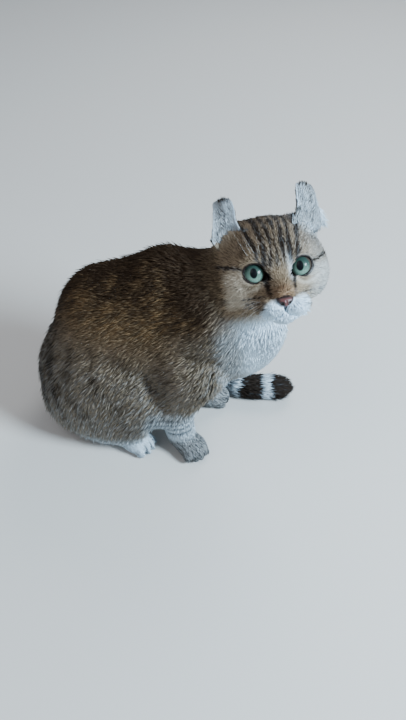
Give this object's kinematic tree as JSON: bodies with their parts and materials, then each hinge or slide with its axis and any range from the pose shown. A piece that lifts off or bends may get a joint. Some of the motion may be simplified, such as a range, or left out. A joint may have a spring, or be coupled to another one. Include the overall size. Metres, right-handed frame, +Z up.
{
  "type": "american curl cat",
  "caption": "Short-coated tabby cat with ears that curl backward, life size and still, crouched with its head turned to its right and its tail laid round its left side.",
  "frame": {"origin": "bottom centre of the whole cat's box, on the floor", "axes": "+X from the rump to the chest, +Y to the cat's left, +Z up"},
  "size_m": [0.306, 0.1904, 0.2884],
  "materials": {
    "body_coat": "short dense fur",
    "head_coat": "short dense fur",
    "neck_coat": "short dense fur",
    "leg_coat": "short dense fur",
    "paw_coat": "very short fur",
    "tail_coat": "short dense fur, ringed",
    "ear_coat": "very short fur with longer hair inside",
    "eye": "wet clear surface over a green iris",
    "nose_leather": "fine pebbled skin"
  },
  "bodies": {
    "root": {"head": "head_coat", "neck": "neck_coat", "torso": "body_coat", "front_leg_left": "leg_coat", "hind_leg_left": "leg_coat", "front_paw_left": "paw_coat", "hind_paw_left": "paw_coat", "ear_left": "ear_coat", "eye_left": "eye", "front_leg_right": "leg_coat", "hind_leg_right": "leg_coat", "front_paw_right": "paw_coat", "hind_paw_right": "paw_coat", "ear_right": "ear_coat", "eye_right": "eye", "tail_base": "tail_coat", "tail_mid": "tail_coat", "tail_tip": "tail_coat", "nose": "nose_leather"}
  },
  "joints": []
}
